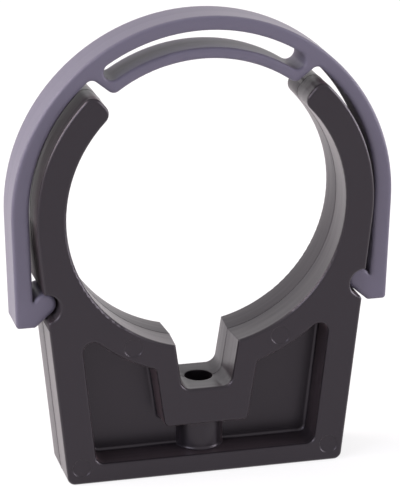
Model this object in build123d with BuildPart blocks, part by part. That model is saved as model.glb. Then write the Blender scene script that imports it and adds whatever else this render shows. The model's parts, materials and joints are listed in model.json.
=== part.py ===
from build123d import *
import os
from math import acos, atan2, cos, degrees, hypot, radians, sin, sqrt, tan

# Pipe clip: a cradle that is screwed down through its foot, and the strap that hooks over the pipe.
# X runs across the clip, Y along the pipe, Z up from the mounting face. The front is towards -Y.

# Driving dimensions of the cradle, in millimetres and degrees
pipe_diameter = 63.0
seat_height = 30.4  # lowest line of the pipe seat above the mounting face
base_depth = 16.0  # along the pipe
arm_wall = 6.5
flank_lean = 6.0  # the flanks draw in towards the foot
tip_angle = 48.0  # where the arms end, above the level of the pipe's axis
tip_radius = 2.4
foot_radius = 1.8
edge_radius = 0.7  # moulded edges of the front and back faces
lip_radius = 0.8  # lower edges of the bead grooves

notch_width = 14.2  # where the notch opens into the pipe seat
notch_depth = 9.9
notch_lean = 8.5
notch_corner = 2.4
notch_draft = 3.5  # both ways from the parting line at mid-depth
screw_diameter = 6.4

pocket_depth = 7.0
pocket_draft = 2.5
pocket_corner = 2.2
pocket_floor_radius = 0.7
side_rim = 6.9
bottom_rim = 4.5
seat_wall = 6.3
block_wall = 5.2  # beside the notch
block_corner = 1.2
boss_diameter = 11.0
boss_height = 7.5
boss_flare = 0.8

groove_diameter = 6.4
groove_drop = 19.6  # below the pipe's axis

ejector_diameter = 4.4  # round marks that the mould's ejector pins leave
ejector_sink = 0.2
ejector_flare = 45.0
ejector_angle = 29.0  # marks on the seat wall, from straight down
ejector_height = 4.0  # marks in the lower corners, above the mounting face

# Driving dimensions of the strap
strap_depth = 10.0
strap_gap = 1.1  # between the arms and the band
band_wall = 3.9
crown_wall = 3.1
leg_lean = 1.6
hook_drop = 5.2  # leg end below the bead's centre
hook_heel = 0.3  # leg end reaches in past the leg's inner face
bead_clearance = 0.7
bead_inset = 0.25  # the bead sits further in than the groove's middle
strap_edge_radius = 0.6
leg_end_radius = 0.8
bead_nick_radius = 0.12
tongue_lift = 2.15  # above the pipe
tongue_wall = 2.4
tongue_tip_gap = 2.9  # from the arm tips to the tongue's ends
tongue_corner = 1.7
web_splay = 2.6  # the webs spread by this angle from the tongue to the band
web_wall = 1.8
web_root_radius = 1.6

# Sizes that follow from them
pick = 0.01  # how close a point counts as being on a plane or a curve
corner_share = 0.9  # of the tightest corner that a floor radius may take up
bore_radius = pipe_diameter / 2
axis_height = seat_height + bore_radius
arm_radius = bore_radius + arm_wall
half_depth = base_depth / 2
notch_floor = seat_height - notch_depth
block_floor = bottom_rim + boss_height
seat_radius = bore_radius + seat_wall
web_half = half_depth - pocket_depth
pocket_draw_in = pocket_depth * tan(radians(pocket_draft))
groove_radius = groove_diameter / 2
groove_height = axis_height - groove_drop
inner_radius = arm_radius + strap_gap
band_radius = inner_radius + band_wall
crown_rise = band_wall - crown_wall
bead_radius = groove_radius - bead_clearance
leg_end = groove_height - hook_drop
tongue_radius = bore_radius + tongue_lift
slot_inner = tongue_radius + tongue_wall
slot_width = inner_radius + crown_rise - slot_inner
slot_radius = slot_inner + slot_width / 2
tongue_angle = 90 - tip_angle - degrees(tongue_tip_gap / tongue_radius)
slot_angle = tongue_angle - degrees((web_wall + slot_width / 2) / slot_radius) + web_splay / 2


def tangent_x(radius, lean, height, centre_height=axis_height):
    """Half-width at a height of a line that leans in and touches a circle round the clip's middle."""
    return (radius - (centre_height - height) * sin(radians(lean))) / cos(radians(lean))


def tangent_point(radius, lean, centre_height=axis_height):
    """Right-hand point where such a line touches its circle."""
    return (radius * cos(radians(lean)), centre_height - radius * sin(radians(lean)))


def mirrored(points):
    """A right-hand chain of points, closed through its mirror image."""
    return [*points, *[(-x, z) for x, z in reversed(points)]]


def about_axis(radius, angle):
    """Point at a radius from the pipe's axis and an angle to the right of straight up."""
    return (radius * sin(radians(angle)), axis_height + radius * cos(radians(angle)))


def from_axis(vertex):
    """Distance of a profile's corner from the pipe's axis."""
    return hypot(vertex.X, vertex.Y - axis_height)


groove_x = tangent_x(arm_radius, flank_lean, groove_height)


def notch_half(height):
    """Half-width of the notch on the front and back faces."""
    return notch_width / 2 - (seat_height - height) * tan(radians(notch_lean))


# Base: the cradle
with BuildPart() as base:
    with BuildSketch(Plane.XZ) as cradle:
        with Locations((0, axis_height)):
            Circle(arm_radius)
        with BuildLine():
            flank = [(tangent_x(arm_radius, flank_lean, 0), 0), tangent_point(arm_radius, flank_lean)]
            Polyline(*mirrored(flank), close=True)
        make_face()
        with Locations((0, axis_height)):
            Circle(bore_radius, mode=Mode.SUBTRACT)
        with BuildLine():
            mouth_side = about_axis(2 * arm_radius, 90 - tip_angle)
            Polyline((0, axis_height), *mirrored([mouth_side]), close=True)
        make_face(mode=Mode.SUBTRACT)
        with Locations((-groove_x, groove_height), (groove_x, groove_height)):
            Circle(groove_radius, mode=Mode.SUBTRACT)
        fillet(cradle.vertices().group_by(Axis.Y)[0], foot_radius)
        fillet(cradle.vertices().filter_by(lambda v: v.Y > axis_height + arm_wall), tip_radius)
        lips = cradle.vertices().filter_by(
            lambda v: abs(hypot(abs(v.X) - groove_x, v.Y - groove_height) - groove_radius) < pick
        )
        fillet(lips.filter_by(lambda v: v.Y < groove_height), lip_radius)
    extrude(amount=half_depth, both=True)

    # Notch in the seat, narrowest at the parting line
    draw_in = half_depth * tan(radians(notch_draft))
    for depth, inset in ((-half_depth, 0), (0, draw_in), (half_depth, 0)):
        with BuildSketch(Plane.XZ.offset(depth)) as notch:
            with BuildLine():
                wall = [
                    (notch_half(notch_floor) - inset, notch_floor),
                    (notch_half(axis_height) - inset, axis_height),
                ]
                Polyline(*mirrored(wall), close=True)
            make_face()
            fillet(notch.vertices().group_by(Axis.Y)[0], notch_corner)
    loft(ruled=True, mode=Mode.SUBTRACT)

    # Pocket round the notch block, front and back, with the thin web left between them
    for face_plane in (Plane.back, Plane.front):
        with BuildSketch(face_plane.offset(-half_depth)) as pocket:
            with BuildLine():
                rim_line = [
                    (tangent_x(arm_radius - side_rim, flank_lean, bottom_rim), bottom_rim),
                    (tangent_x(arm_radius - side_rim, flank_lean, axis_height), axis_height),
                ]
                Polyline(*mirrored(rim_line), close=True)
            make_face()
            with Locations((0, axis_height)):
                Circle(seat_radius, mode=Mode.SUBTRACT)
            with BuildLine():
                block = [
                    (notch_half(block_floor) + block_wall, block_floor),
                    (notch_half(axis_height) + block_wall, axis_height),
                ]
                Polyline(*mirrored(block), close=True)
            make_face(mode=Mode.SUBTRACT)
            block_reach = notch_half(seat_height) + block_wall
            fillet(pocket.vertices().filter_by(lambda v: abs(v.X) > block_reach), pocket_corner)
            fillet(pocket.vertices().filter_by(lambda v: abs(v.X) < block_reach), block_corner)
        extrude(amount=pocket_depth, taper=pocket_draft, mode=Mode.SUBTRACT)
    web_edges = base.edges().filter_by(lambda e: abs(abs(e.center().Y) - web_half) < pick)
    tightest_corner = min(pocket_corner, block_corner) - pocket_draw_in
    fillet(web_edges.filter_by(Plane.XZ), min(pocket_floor_radius, corner_share * tightest_corner))

    # Screw boss under the notch block, with a small flare at its foot
    with BuildSketch(Plane.XZ) as boss:
        boss_radius = boss_diameter / 2
        boss_top = (block_floor + notch_floor) / 2
        with BuildLine():
            foot = (boss_radius + boss_flare, bottom_rim)
            shank = (boss_radius, bottom_rim + boss_flare)
            Polyline(shank, (boss_radius, boss_top), (0, boss_top), (0, bottom_rim), foot)
            RadiusArc(foot, shank, boss_flare)
        make_face()
    revolve(axis=Axis.Z)
    with Locations((0, 0, notch_floor)):
        Hole(screw_diameter / 2)

    # Moulded radius on the edges of both faces
    face_edges = base.edges().filter_by(lambda e: abs(abs(e.center().Y) - half_depth) < pick)
    fillet(face_edges, edge_radius)

    # Ejector marks in the front face: two on the seat wall and one in each lower corner
    seat_mark = about_axis(bore_radius + seat_wall / 2, 180 - ejector_angle)
    corner_mark = (tangent_x(arm_radius - side_rim / 2, flank_lean, ejector_height), ejector_height)
    with BuildSketch(Plane.back.offset(-half_depth)):
        with Locations(*mirrored([seat_mark, corner_mark])):
            Circle(ejector_diameter / 2)
    extrude(amount=ejector_sink, taper=ejector_flare, mode=Mode.SUBTRACT)

# Strap: half-round band with hooked legs and a spring tongue under its crown
with BuildPart() as strap:
    with BuildSketch(Plane.XZ) as hoop:
        with Locations((0, axis_height)):
            Circle(band_radius)
        with BuildLine():
            leg_outside = [
                (tangent_x(band_radius, leg_lean, leg_end), leg_end),
                tangent_point(band_radius, leg_lean),
            ]
            Polyline(*mirrored(leg_outside), close=True)
        make_face()
        crown_height = axis_height + crown_rise
        with Locations((0, crown_height)):
            Circle(inner_radius, mode=Mode.SUBTRACT)
        with BuildLine():
            leg_inside = [
                (tangent_x(inner_radius, leg_lean, 0, crown_height), 0),
                tangent_point(inner_radius, leg_lean, crown_height),
            ]
            Polyline(*mirrored(leg_inside), close=True)
        make_face(mode=Mode.SUBTRACT)

        # Bead on each leg, with a round nick above it and a sloped lead-in down to the leg's end
        bead = Vector(groove_x - bead_inset, groove_height)
        with Locations((-bead.X, bead.Y), (bead.X, bead.Y)):
            Circle(bead_radius)
        along = Vector(sin(radians(leg_lean)), cos(radians(leg_lean)))
        across = Vector(cos(radians(leg_lean)), -sin(radians(leg_lean)))
        leg_reach = inner_radius - (bead - Vector(0, crown_height)).dot(across)
        nick_radius = bead_nick_radius + abs(leg_reach - bead_radius) / 2
        nick_rise = sqrt((bead_radius + nick_radius) ** 2 - (leg_reach - nick_radius) ** 2)
        nick = bead + across * (leg_reach - nick_radius) + along * nick_rise
        nick_on_leg = nick + across * nick_radius
        nick_on_bead = bead + (nick - bead).normalized() * bead_radius
        heel = Vector(tangent_x(inner_radius, leg_lean, leg_end, crown_height) - hook_heel, leg_end)
        heel_turn = atan2(heel.Y - bead.Y, heel.X - bead.X)
        touch = heel_turn - acos(bead_radius / (heel - bead).length)
        lead_in = bead + Vector(cos(touch), sin(touch)) * bead_radius
        mid_leg = inner_radius + band_wall / 2
        for side in (-1, 1):
            with BuildLine():
                Polyline(
                    (side * nick_on_bead.X, nick_on_bead.Y),
                    (side * bead.X, bead.Y),
                    (side * lead_in.X, lead_in.Y),
                    (side * heel.X, heel.Y),
                    (side * mid_leg, leg_end),
                    (side * mid_leg, nick_on_leg.Y),
                    (side * nick_on_leg.X, nick_on_leg.Y),
                )
                lowest = nick - along * nick_radius
                ThreePointArc(
                    (side * nick_on_leg.X, nick_on_leg.Y),
                    (side * lowest.X, lowest.Y),
                    (side * nick_on_bead.X, nick_on_bead.Y),
                )
            make_face()

        # Spring tongue between the arm tips, joined to the band by a web at each end
        with BuildLine():
            tongue_end = about_axis(tongue_radius, tongue_angle)
            band_end = about_axis(inner_radius + band_wall / 2, tongue_angle + web_splay)
            Line(tongue_end, band_end)
            ThreePointArc(band_end, about_axis(inner_radius + band_wall / 2, 0), (-band_end[0], band_end[1]))
            Line((-band_end[0], band_end[1]), (-tongue_end[0], tongue_end[1]))
            ThreePointArc((-tongue_end[0], tongue_end[1]), about_axis(tongue_radius, 0), tongue_end)
        make_face()
        tongue_top = axis_height + tongue_radius / 2
        fillet(hoop.vertices().filter_by(lambda v: v.Y > tongue_top).sort_by(from_axis)[-2:], web_root_radius)
        fillet(hoop.vertices().filter_by(lambda v: v.Y > tongue_top).sort_by(from_axis)[:2], tongue_corner)
        with BuildLine():
            slot_start = 90 - slot_angle
            slot_line = CenterArc((0, axis_height), slot_radius, slot_start, 2 * slot_angle, mode=Mode.PRIVATE)
        SlotArc(slot_line, slot_width, mode=Mode.SUBTRACT)

        fillet(hoop.vertices().group_by(Axis.Y)[0], leg_end_radius)
    extrude(amount=strap_depth / 2, both=True)
    strap_edges = strap.edges().filter_by(lambda e: abs(abs(e.center().Y) - strap_depth / 2) < pick)
    fillet(strap_edges, strap_edge_radius)

base.part.label = "base"
strap.part.label = "strap"

os.makedirs("parts", exist_ok=True)
export_step(base.part, "parts/base.step")
export_step(strap.part, "parts/strap.step")
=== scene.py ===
import json
import math

import bmesh
import bpy
from mathutils import Matrix, Vector


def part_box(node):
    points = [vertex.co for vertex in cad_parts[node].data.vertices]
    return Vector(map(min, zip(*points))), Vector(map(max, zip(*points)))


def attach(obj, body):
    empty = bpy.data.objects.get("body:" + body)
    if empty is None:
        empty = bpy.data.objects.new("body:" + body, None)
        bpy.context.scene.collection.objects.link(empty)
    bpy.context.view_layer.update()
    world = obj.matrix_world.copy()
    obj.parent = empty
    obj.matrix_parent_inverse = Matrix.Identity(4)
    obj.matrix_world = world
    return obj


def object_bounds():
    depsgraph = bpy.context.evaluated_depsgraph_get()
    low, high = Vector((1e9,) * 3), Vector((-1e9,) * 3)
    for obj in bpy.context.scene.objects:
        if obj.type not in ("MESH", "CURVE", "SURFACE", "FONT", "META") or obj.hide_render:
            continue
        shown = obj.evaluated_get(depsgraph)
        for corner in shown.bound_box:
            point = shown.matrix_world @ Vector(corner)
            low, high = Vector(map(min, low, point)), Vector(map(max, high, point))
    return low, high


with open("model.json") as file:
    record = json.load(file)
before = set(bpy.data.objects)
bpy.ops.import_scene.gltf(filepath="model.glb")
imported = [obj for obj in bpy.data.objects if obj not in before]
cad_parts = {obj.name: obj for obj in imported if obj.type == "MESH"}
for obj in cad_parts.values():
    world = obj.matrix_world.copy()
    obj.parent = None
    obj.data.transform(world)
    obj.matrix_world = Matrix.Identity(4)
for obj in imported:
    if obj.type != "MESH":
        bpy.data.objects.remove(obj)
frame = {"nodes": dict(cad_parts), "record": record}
cad_low, cad_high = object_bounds()

# Lengths are in metres, angles in degrees
MM = 0.001

# Places on the clip, read from the frame
mounts = {mount["name"]: mount for mount in frame["record"]["mounts"]}
pipe_axis_height = mounts["pipe_seat"]["pos_m"][2]
hole_radius = mounts["screw_hole"]["dims"]["r_mm"] * MM
half_depth = cad_high[1]
arm_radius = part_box("base")[1][0]
strap_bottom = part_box("strap")[0][2]

# Below this height the arms' round outside runs on as a straight flank
FLANK_TAPER = 6.0
flank_top = pipe_axis_height - arm_radius * math.sin(math.radians(FLANK_TAPER))

# Camera, at the photograph's viewing angle
VIEW_AZIMUTH = -14.75
VIEW_ELEVATION = 19.29
VIEW_ROLL = 0.4
VIEW_DISTANCE = 0.5768
VIEW_TARGET = Vector((0.00019, 0.0, 0.05136))
PHOTO_HEIGHT_PX = 492
FOCAL_PX = 2600
SENSOR_MM = 36.0

# Colours of the two plastics, and the tints of their gloss and sheen
BASE_CHARCOAL = (0.0085, 0.0072, 0.0090, 1.0)
BASE_GLOSS_TINT = (0.66, 0.59, 0.66, 1.0)
BASE_SHEEN_TINT = (1.0, 0.72, 0.78, 1.0)
STRAP_BLUE_GREY = (0.086, 0.080, 0.111, 1.0)
STRAP_GLOSS_TINT = (1.0, 0.93, 1.0, 1.0)
STRAP_SHEEN_TINT = (1.0, 0.92, 0.9, 1.0)
WHITE = (1.0, 1.0, 1.0, 1.0)

# Noises of the moulded skin, in cells per metre, and of the tool marks, in cells per pitch
CLOUD_NOISE = {"Scale": 55.0, "Detail": 3.0, "Roughness": 0.55}
GRAIN_NOISE = {"Scale": 3200.0, "Detail": 2.0, "Roughness": 0.6}
MARK_NOISE = {"Scale": 1.0, "Detail": 1.0}
NOISE_MIDDLE = 0.5

# Edges catch the light as if broken by the mould
BASE_EDGE_SOFTNESS = 0.35 * MM
STRAP_EDGE_SOFTNESS = 1.3 * MM
EDGE_SAMPLES = 6

# Walls of the gap between strap and base start this far from the pipe's axis
BASE_GAP_FROM = 34.0 * MM
STRAP_GAP_FROM = 37.0 * MM

# How much duller those walls are rubbed, up to which slant, and how softly arm changes to flank
RUBBED_ROUGHNESS = 0.3
RUBBED_SLANT = 0.5
FLANK_FADE = 4.0 * MM

# Flash line that the mould leaves where its halves meet, at mid-depth
FLASH_RADIUS = 0.05 * MM
FLASH_SIDES = 8
FOOT_CLEAR = 0.5 * MM

# Points closer than this become one: in the base's mesh, and along the flash line
MERGE_GAP = 0.0005 * MM
WELD_GAP = 0.04 * MM

# White floor
FLOOR_SIDE = 8.0
FLOOR_DROP = 0.02 * MM
FLOOR_COLOUR = (0.9, 0.9, 0.9, 1.0)
FLOOR_GLOW = 0.76

# Surround: soft light that weakens to the upper right, cooler in front than behind
SURROUND_STRENGTH = 1.02
SURROUND_FALL = -0.5
FALL_RIGHTWARD = {"From Min": -0.2, "From Max": 0.3}
FALL_UPWARD = {"From Min": 0.0, "From Max": 0.3}
TINT_BACKWARD = {"From Min": -0.5, "From Max": 0.5}
FRONT_TINT = (0.98, 0.915, 0.99, 1.0)
BACK_TINT = (1.0, 0.915, 0.91, 1.0)

# Softboxes: name, place, side, power in watts and colour
SOFTBOXES = (
    ("left_softbox", (-1.0, 0.25, 0.65), 0.9, 20.0, (1.0, 0.92, 0.91)),
    ("right_softbox", (0.95, -0.15, 0.25), 0.7, 12.0, (0.95, 0.92, 0.99)),
    ("front_softbox", (-0.75, -0.4, 0.55), 0.4, 4.0, (0.82, 0.86, 1.0)),
)


# Small helpers for node trees
def add_node(tree, kind, values=None, **settings):
    """A new node with its attributes and the values of its unlinked inputs set."""
    node = tree.nodes.new(kind)
    for name, value in settings.items():
        setattr(node, name, value)
    for socket, value in (values or {}).items():
        node.inputs[socket].default_value = value
    return node


def math_node(tree, operation, *operands):
    """A Math node's result; each operand is a number or an output socket."""
    node = add_node(tree, "ShaderNodeMath", operation=operation)
    for socket, operand in zip(node.inputs, operands):
        if isinstance(operand, (int, float)):
            socket.default_value = operand
        else:
            tree.links.new(operand, socket)
    return node.outputs[0]


def blend_values(tree, share, first, second):
    """First where share is 0, second where it is 1."""
    return math_node(tree, "MULTIPLY_ADD", share, math_node(tree, "SUBTRACT", second, first), first)


def split_vector(tree, vector):
    """A vector's X, Y and Z."""
    node = add_node(tree, "ShaderNodeSeparateXYZ")
    tree.links.new(vector, node.inputs[0])
    return node.outputs["X"], node.outputs["Y"], node.outputs["Z"]


def ramp_node(tree, value, limits):
    """Runs from 0 to 1 as a value goes from one limit to the other."""
    node = add_node(tree, "ShaderNodeMapRange", limits)
    tree.links.new(value, node.inputs["Value"])
    return node.outputs[0]


def shader_group(name, inputs, outputs):
    """An empty shader node group with its sockets; returns the tree and its two end nodes."""
    tree = bpy.data.node_groups.new(name, "ShaderNodeTree")
    for socket_name, kind, value in inputs:
        socket = tree.interface.new_socket(name=socket_name, in_out="INPUT", socket_type=kind)
        socket.default_value = value
    for socket_name, kind in outputs:
        tree.interface.new_socket(name=socket_name, in_out="OUTPUT", socket_type=kind)
    return tree, tree.nodes.new("NodeGroupInput"), tree.nodes.new("NodeGroupOutput")


# Shader groups that both plastics share
def moulded_skin_group():
    """Slow clouding of a moulded surface's colour and gloss, and the fine grain of an eroded mould."""
    tree, given, result = shader_group(
        "moulded_skin",
        [
            ("Colour", "NodeSocketColor", WHITE),
            ("Clouding", "NodeSocketFloat", 0.1),
            ("Roughness", "NodeSocketFloat", 0.4),
            ("Roughness Spread", "NodeSocketFloat", 0.08),
            ("Grain Depth", "NodeSocketFloat", 0.004 * MM),
        ],
        [("Colour", "NodeSocketColor"), ("Roughness", "NodeSocketFloat"), ("Height", "NodeSocketFloat")],
    )
    place = add_node(tree, "ShaderNodeTexCoord")
    cloud = add_node(tree, "ShaderNodeTexNoise", CLOUD_NOISE)
    grain = add_node(tree, "ShaderNodeTexNoise", GRAIN_NOISE)
    for noise in (cloud, grain):
        tree.links.new(place.outputs["Object"], noise.inputs["Vector"])
    swing = math_node(tree, "SUBTRACT", cloud.outputs["Fac"], NOISE_MIDDLE)
    tone = math_node(tree, "MULTIPLY_ADD", swing, given.outputs["Clouding"], 1.0)
    clouded = add_node(tree, "ShaderNodeVectorMath", operation="SCALE")
    tree.links.new(given.outputs["Colour"], clouded.inputs[0])
    tree.links.new(tone, clouded.inputs["Scale"])
    tree.links.new(clouded.outputs[0], result.inputs["Colour"])
    roughness = math_node(
        tree, "MULTIPLY_ADD", swing, given.outputs["Roughness Spread"], given.outputs["Roughness"]
    )
    tree.links.new(roughness, result.inputs["Roughness"])
    height = math_node(tree, "MULTIPLY", grain.outputs["Fac"], given.outputs["Grain Depth"])
    tree.links.new(height, result.inputs["Height"])
    return tree


def tool_marks_group():
    """Long faint marks that the milling of the mould leaves, running round the pipe's axis."""
    tree, given, result = shader_group(
        "tool_marks",
        [
            ("Depth", "NodeSocketFloat", 0.01 * MM),
            ("Pitch", "NodeSocketFloat", 1.2 * MM),
            ("Run", "NodeSocketFloat", 18.0 * MM),
        ],
        [("Height", "NodeSocketFloat")],
    )
    place = add_node(tree, "ShaderNodeTexCoord")
    stretched = add_node(tree, "ShaderNodeCombineXYZ")
    for axis, coordinate in zip("XYZ", split_vector(tree, place.outputs["Object"])):
        size = given.outputs["Pitch" if axis == "Y" else "Run"]
        tree.links.new(math_node(tree, "DIVIDE", coordinate, size), stretched.inputs[axis])
    marks = add_node(tree, "ShaderNodeTexNoise", MARK_NOISE)
    tree.links.new(stretched.outputs[0], marks.inputs["Vector"])
    height = math_node(tree, "MULTIPLY", marks.outputs["Fac"], given.outputs["Depth"])
    tree.links.new(height, result.inputs["Height"])
    return tree


def mould_halves_group():
    """The two mould halves, which meet at mid-depth, as a slight lean of the surface along the depth.

    Walls of the gap between strap and base have leans of their own, and are rubbed dull.
    """
    tree, given, result = shader_group(
        "mould_halves",
        [
            ("Normal", "NodeSocketVector", (0.0, 0.0, 1.0)),
            ("Lean", "NodeSocketFloat", 0.03),
            ("Gap From", "NodeSocketFloat", BASE_GAP_FROM),
            ("Gap Side", "NodeSocketFloat", 1.0),
            ("Arm Lean", "NodeSocketFloat", 0.0),
            ("Flank Lean", "NodeSocketFloat", -0.1),
            ("Arm Rub", "NodeSocketFloat", 1.0),
        ],
        [("Normal", "NodeSocketVector"), ("Rub", "NodeSocketFloat")],
    )
    place = add_node(tree, "ShaderNodeTexCoord")
    x, y, z = split_vector(tree, place.outputs["Object"])
    normal_x, normal_y, normal_z = split_vector(tree, given.outputs["Normal"])

    # In front the lean grows from mid-depth to the face; behind it jumps back and runs out at the face
    behind = math_node(tree, "GREATER_THAN", y, 0.0)
    depth_share = math_node(tree, "DIVIDE", math_node(tree, "ABSOLUTE", y), half_depth)
    lean_share = math_node(tree, "SUBTRACT", depth_share, behind)
    open_lean = math_node(tree, "MULTIPLY", lean_share, given.outputs["Lean"])

    # A gap wall lies beyond a radius from the pipe's axis, above the strap's feet, and faces the gap
    above_axis = math_node(tree, "SUBTRACT", z, pipe_axis_height)
    across_squared = math_node(tree, "MULTIPLY", x, x)
    radius = math_node(tree, "SQRT", math_node(tree, "MULTIPLY_ADD", above_axis, above_axis, across_squared))
    beyond = math_node(tree, "GREATER_THAN", radius, given.outputs["Gap From"])
    across_outward = math_node(tree, "MULTIPLY", normal_x, x)
    outward = math_node(tree, "MULTIPLY_ADD", normal_z, above_axis, across_outward)
    towards_gap = math_node(tree, "MULTIPLY", outward, given.outputs["Gap Side"])
    faces_gap = math_node(tree, "GREATER_THAN", towards_gap, 0.0)
    above_feet = math_node(tree, "GREATER_THAN", z, strap_bottom)
    gap_wall = math_node(tree, "MULTIPLY", math_node(tree, "MULTIPLY", beyond, faces_gap), above_feet)
    flank_share = ramp_node(tree, z, {"From Min": flank_top + FLANK_FADE, "From Max": flank_top - FLANK_FADE})
    gap_lean = blend_values(tree, flank_share, given.outputs["Arm Lean"], given.outputs["Flank Lean"])

    # The lean tips the surface along the depth
    push = add_node(tree, "ShaderNodeCombineXYZ")
    tree.links.new(blend_values(tree, gap_wall, open_lean, gap_lean), push.inputs["Y"])
    pushed = add_node(tree, "ShaderNodeVectorMath", operation="ADD")
    tree.links.new(given.outputs["Normal"], pushed.inputs[0])
    tree.links.new(push.outputs[0], pushed.inputs[1])
    normal = add_node(tree, "ShaderNodeVectorMath", operation="NORMALIZE")
    tree.links.new(pushed.outputs[0], normal.inputs[0])
    tree.links.new(normal.outputs[0], result.inputs["Normal"])

    # Front and back faces aren't rubbed
    sideways = math_node(tree, "LESS_THAN", math_node(tree, "ABSOLUTE", normal_y), RUBBED_SLANT)
    rub_share = blend_values(tree, flank_share, given.outputs["Arm Rub"], 1.0)
    rub = math_node(tree, "MULTIPLY", math_node(tree, "MULTIPLY", gap_wall, sideways), rub_share)
    tree.links.new(rub, result.inputs["Rub"])
    return tree


moulded_skin = moulded_skin_group()
tool_marks = tool_marks_group()
mould_halves = mould_halves_group()


def moulded_plastic(name, edge_softness, gloss, skin_values, mark_values, half_values):
    """A moulded plastic: the shared groups, with this piece's own values."""
    material = bpy.data.materials.new(name)
    material.use_nodes = True
    tree = material.node_tree
    shader = tree.nodes["Principled BSDF"]
    for socket, value in gloss.items():
        shader.inputs[socket].default_value = value
    skin = add_node(tree, "ShaderNodeGroup", node_tree=moulded_skin)
    marks = add_node(tree, "ShaderNodeGroup", node_tree=tool_marks)
    halves = add_node(tree, "ShaderNodeGroup", node_tree=mould_halves)
    for group, values in ((skin, skin_values), (marks, mark_values), (halves, half_values)):
        for socket, value in values.items():
            group.inputs[socket].default_value = value
    soft_edges = add_node(tree, "ShaderNodeBevel", {"Radius": edge_softness}, samples=EDGE_SAMPLES)
    tree.links.new(soft_edges.outputs["Normal"], halves.inputs["Normal"])
    bump = add_node(tree, "ShaderNodeBump", {"Strength": 1.0, "Distance": 1.0})
    height = math_node(tree, "ADD", skin.outputs["Height"], marks.outputs["Height"])
    tree.links.new(height, bump.inputs["Height"])
    tree.links.new(halves.outputs["Normal"], bump.inputs["Normal"])
    roughness = math_node(
        tree, "MULTIPLY_ADD", halves.outputs["Rub"], RUBBED_ROUGHNESS, skin.outputs["Roughness"]
    )
    tree.links.new(skin.outputs["Colour"], shader.inputs["Base Color"])
    tree.links.new(roughness, shader.inputs["Roughness"])
    tree.links.new(bump.outputs["Normal"], shader.inputs["Normal"])
    return material


def dress(node_name, material):
    """Gives a CAD node its finish."""
    slots = frame["nodes"][node_name].data.materials
    slots.clear()
    slots.append(material)


# Charcoal base: fine matt grain, clear tool marks, and a gap that starts on the arms' outside
charcoal_moulding = moulded_plastic(
    "charcoal_moulding",
    BASE_EDGE_SOFTNESS,
    {
        "IOR": 1.56,
        "Specular Tint": BASE_GLOSS_TINT,
        "Sheen Weight": 0.1,
        "Sheen Roughness": 0.35,
        "Sheen Tint": BASE_SHEEN_TINT,
    },
    {
        "Colour": BASE_CHARCOAL,
        "Clouding": 0.25,
        "Roughness": 0.32,
        "Roughness Spread": 0.08,
        "Grain Depth": 0.004 * MM,
    },
    {"Depth": 0.08 * MM, "Pitch": 2.4 * MM, "Run": 18.0 * MM},
    {
        "Lean": 0.11,
        "Gap From": BASE_GAP_FROM,
        "Gap Side": 1.0,
        "Arm Lean": 0.035,
        "Flank Lean": -0.15,
        "Arm Rub": 0.0,
    },
)

# Blue-grey strap: smooth satin with hardly any grain, and a gap on the inside of its band and legs
blue_grey_moulding = moulded_plastic(
    "blue_grey_moulding",
    STRAP_EDGE_SOFTNESS,
    {
        "IOR": 1.43,
        "Specular Tint": STRAP_GLOSS_TINT,
        "Sheen Weight": 0.1,
        "Sheen Roughness": 0.35,
        "Sheen Tint": STRAP_SHEEN_TINT,
    },
    {
        "Colour": STRAP_BLUE_GREY,
        "Clouding": 0.12,
        "Roughness": 0.41,
        "Roughness Spread": 0.06,
        "Grain Depth": 0.001 * MM,
    },
    {"Depth": 0.004 * MM, "Pitch": 1.2 * MM, "Run": 25.0 * MM},
    {
        "Lean": 0.03,
        "Gap From": STRAP_GAP_FROM,
        "Gap Side": -1.0,
        "Arm Lean": -0.1,
        "Flank Lean": -0.1,
        "Arm Rub": 1.0,
    },
)

dress("base", charcoal_moulding)
dress("strap", blue_grey_moulding)


# Flash line: a hair-thin round ridge along the base's outline at mid-depth
def flash_line_tree():
    """Geometry nodes that weld an outline's points and run a round ridge along it."""
    tree = bpy.data.node_groups.new("flash_line", "GeometryNodeTree")
    for socket_name, kind in (
        ("Outline", "NodeSocketGeometry"),
        ("Weld Gap", "NodeSocketFloat"),
        ("Ridge Radius", "NodeSocketFloat"),
        ("Ridge Sides", "NodeSocketInt"),
        ("Finish", "NodeSocketMaterial"),
    ):
        tree.interface.new_socket(name=socket_name, in_out="INPUT", socket_type=kind)
    tree.interface.new_socket(name="Ridge", in_out="OUTPUT", socket_type="NodeSocketGeometry")
    given = tree.nodes.new("NodeGroupInput")
    weld = tree.nodes.new("GeometryNodeMergeByDistance")
    path = tree.nodes.new("GeometryNodeMeshToCurve")
    section = add_node(tree, "GeometryNodeCurvePrimitiveCircle", mode="RADIUS")
    ridge = add_node(tree, "GeometryNodeCurveToMesh", {"Fill Caps": True})
    realized = tree.nodes.new("GeometryNodeRealizeInstances")
    finish = tree.nodes.new("GeometryNodeSetMaterial")
    result = tree.nodes.new("NodeGroupOutput")
    tree.links.new(given.outputs["Outline"], weld.inputs["Geometry"])
    tree.links.new(given.outputs["Weld Gap"], weld.inputs["Distance"])
    tree.links.new(weld.outputs["Geometry"], path.inputs["Mesh"])
    tree.links.new(given.outputs["Ridge Radius"], section.inputs["Radius"])
    tree.links.new(given.outputs["Ridge Sides"], section.inputs["Resolution"])
    tree.links.new(path.outputs["Curve"], ridge.inputs["Curve"])
    tree.links.new(section.outputs["Curve"], ridge.inputs["Profile Curve"])
    tree.links.new(ridge.outputs["Mesh"], realized.inputs["Geometry"])
    tree.links.new(realized.outputs["Geometry"], finish.inputs["Geometry"])
    tree.links.new(given.outputs["Finish"], finish.inputs["Material"])
    tree.links.new(finish.outputs["Geometry"], result.inputs["Ridge"])
    return tree


def carries_flash(point):
    """The screw hole and the flat foot carry no flash."""
    return abs(point.x) > hole_radius + FLASH_RADIUS and point.z > FOOT_CLEAR


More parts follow.
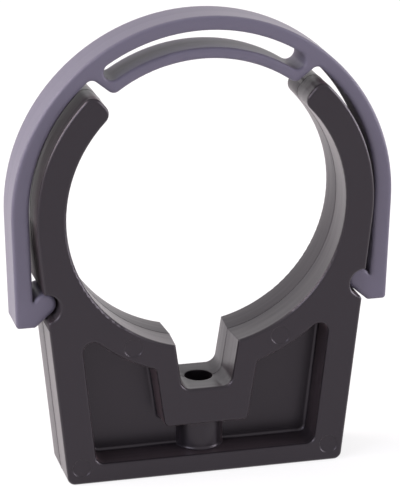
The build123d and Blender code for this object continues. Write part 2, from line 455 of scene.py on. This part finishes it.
def base_outline(name):
    """The lines where the base crosses mid-depth, as a mesh of edges."""
    cut = bmesh.new()
    cut.from_mesh(frame["nodes"]["base"].data)
    bmesh.ops.remove_doubles(cut, verts=cut.verts, dist=MERGE_GAP)
    everything = cut.verts[:] + cut.edges[:] + cut.faces[:]
    crossing = bmesh.ops.bisect_plane(cut, geom=everything, plane_co=(0, 0, 0), plane_no=(0, 1, 0))
    lines = [item for item in crossing["geom_cut"] if isinstance(item, bmesh.types.BMEdge)]
    lines = [line for line in lines if carries_flash((line.verts[0].co + line.verts[1].co) / 2)]
    place = {}
    for line in lines:
        for corner in line.verts:
            place.setdefault(corner, len(place))
    pairs = [(place[line.verts[0]], place[line.verts[1]]) for line in lines]
    outline = bpy.data.meshes.new(name)
    outline.from_pydata([corner.co.copy() for corner in place], pairs, [])
    cut.free()
    return outline


def add_flash_line(name):
    """Puts the flash line on the base, as a plain mesh that moves with it."""
    ridge = bpy.data.objects.new(name, base_outline(name))
    bpy.context.scene.collection.objects.link(ridge)
    modifier = ridge.modifiers.new(name, "NODES")
    modifier.node_group = flash_line_tree()
    sockets = modifier.node_group.interface.items_tree
    modifier[sockets["Weld Gap"].identifier] = WELD_GAP
    modifier[sockets["Ridge Radius"].identifier] = FLASH_RADIUS
    modifier[sockets["Ridge Sides"].identifier] = FLASH_SIDES
    modifier[sockets["Finish"].identifier] = charcoal_moulding
    shown = ridge.evaluated_get(bpy.context.evaluated_depsgraph_get())
    ridge.data = bpy.data.meshes.new_from_object(shown)
    ridge.modifiers.clear()
    ridge.data.shade_smooth()
    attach(ridge, "base")


add_flash_line("base_flash_line")


# Stage and light
def seen_rays(tree):
    """1 for rays from the camera and from reflections, 0 for those that only light things."""
    path = add_node(tree, "ShaderNodeLightPath")
    mirrored = math_node(tree, "MAXIMUM", path.outputs["Is Glossy Ray"], path.outputs["Is Transmission Ray"])
    return math_node(tree, "MAXIMUM", path.outputs["Is Camera Ray"], mirrored)


def white_floor():
    """A floor that is nearly white to the camera and in reflections, and keeps a soft shadow."""
    half = FLOOR_SIDE / 2
    corners = [(x, y, -FLOOR_DROP) for x, y in ((-half, -half), (half, -half), (half, half), (-half, half))]
    mesh = bpy.data.meshes.new("floor")
    mesh.from_pydata(corners, [], [(0, 1, 2, 3)])
    floor = bpy.data.objects.new("floor", mesh)
    bpy.context.scene.collection.objects.link(floor)
    material = bpy.data.materials.new("floor_white")
    material.use_nodes = True
    tree = material.node_tree
    tree.nodes.clear()
    matt = add_node(tree, "ShaderNodeBsdfDiffuse", {"Color": FLOOR_COLOUR})
    glow = add_node(tree, "ShaderNodeEmission", {"Color": WHITE, "Strength": 1.0})
    mix = add_node(tree, "ShaderNodeMixShader")
    out = add_node(tree, "ShaderNodeOutputMaterial")
    tree.links.new(math_node(tree, "MULTIPLY", seen_rays(tree), FLOOR_GLOW), mix.inputs["Fac"])
    tree.links.new(matt.outputs[0], mix.inputs[1])
    tree.links.new(glow.outputs[0], mix.inputs[2])
    tree.links.new(mix.outputs[0], out.inputs["Surface"])
    mesh.materials.append(material)


def studio_surround():
    """Soft light from all round, weakest from the upper right; white when it is seen."""
    world = bpy.data.worlds.new("studio")
    bpy.context.scene.world = world
    world.use_nodes = True
    tree = world.node_tree
    tree.nodes.clear()
    place = add_node(tree, "ShaderNodeTexCoord")
    x, y, z = split_vector(tree, place.outputs["Generated"])
    rightward = ramp_node(tree, x, FALL_RIGHTWARD)
    upward = ramp_node(tree, z, FALL_UPWARD)
    upper_right = math_node(tree, "MULTIPLY", rightward, upward)
    strength = math_node(tree, "MULTIPLY_ADD", upper_right, SURROUND_FALL, SURROUND_STRENGTH)
    tint = add_node(tree, "ShaderNodeValToRGB")
    tint.color_ramp.elements[0].color = FRONT_TINT
    tint.color_ramp.elements[1].color = BACK_TINT
    tree.links.new(ramp_node(tree, y, TINT_BACKWARD), tint.inputs["Fac"])
    soft = add_node(tree, "ShaderNodeBackground")
    tree.links.new(tint.outputs["Color"], soft.inputs["Color"])
    tree.links.new(strength, soft.inputs["Strength"])
    white = add_node(tree, "ShaderNodeBackground", {"Color": WHITE, "Strength": 1.0})
    mix = add_node(tree, "ShaderNodeMixShader")
    out = add_node(tree, "ShaderNodeOutputWorld")
    tree.links.new(seen_rays(tree), mix.inputs["Fac"])
    tree.links.new(soft.outputs[0], mix.inputs[1])
    tree.links.new(white.outputs[0], mix.inputs[2])
    tree.links.new(mix.outputs[0], out.inputs["Surface"])


def softbox(name, place, side, power, colour):
    """A square area light that faces the clip and isn't seen itself."""
    lamp = bpy.data.lights.new(name, "AREA")
    lamp.shape = "SQUARE"
    lamp.size = side
    lamp.energy = power
    lamp.color = colour
    box = bpy.data.objects.new(name, lamp)
    aim = VIEW_TARGET - Vector(place)
    box.matrix_world = Matrix.Translation(place) @ aim.to_track_quat("-Z", "Y").to_matrix().to_4x4()
    box.visible_camera = False
    bpy.context.scene.collection.objects.link(box)


def photo_camera():
    """The camera, turned and rolled as in the photograph."""
    azimuth = math.radians(VIEW_AZIMUTH)
    elevation = math.radians(VIEW_ELEVATION)
    level = math.cos(elevation)
    back = Vector((math.sin(azimuth) * level, -math.cos(azimuth) * level, math.sin(elevation)))
    lens = bpy.data.cameras.new("photo_camera")
    lens.sensor_width = SENSOR_MM
    lens.lens = FOCAL_PX / PHOTO_HEIGHT_PX * SENSOR_MM
    camera = bpy.data.objects.new("photo_camera", lens)
    turn = (-back).to_track_quat("-Z", "Y").to_matrix().to_4x4()
    roll = Matrix.Rotation(math.radians(VIEW_ROLL), 4, "Z")
    camera.matrix_world = Matrix.Translation(VIEW_TARGET + VIEW_DISTANCE * back) @ turn @ roll
    bpy.context.scene.collection.objects.link(camera)
    bpy.context.scene.camera = camera


white_floor()
studio_surround()
for box_values in SOFTBOXES:
    softbox(*box_values)
photo_camera()
bpy.context.scene.view_settings.view_transform = "Standard"
